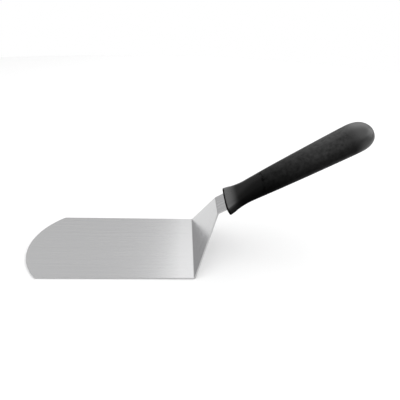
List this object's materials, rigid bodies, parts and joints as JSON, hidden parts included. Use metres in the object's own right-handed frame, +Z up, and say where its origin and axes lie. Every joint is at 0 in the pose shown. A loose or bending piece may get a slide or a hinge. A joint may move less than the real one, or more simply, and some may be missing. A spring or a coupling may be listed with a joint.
{
  "type": "offset spatula",
  "caption": "Wide offset spatula with a flat round-tipped steel blade, a steep shoulder and an inclined moulded grip with a flared collar.",
  "frame": {"origin": "middle of the overall box in plan, on the plane the blade's underside rests on", "axes": "+X from the blade's tip towards the end of the grip, +Z up out of the blade's upper face, +Y across the blade"},
  "size_m": [0.2946, 0.095, 0.1224],
  "materials": {
    "steel": "fine satin brushing along the blade",
    "grip": "fine matte grain on the grip, smoother collar and end"
  },
  "bodies": {
    "root": {"blade": "steel", "handle": "grip"}
  },
  "joints": []
}
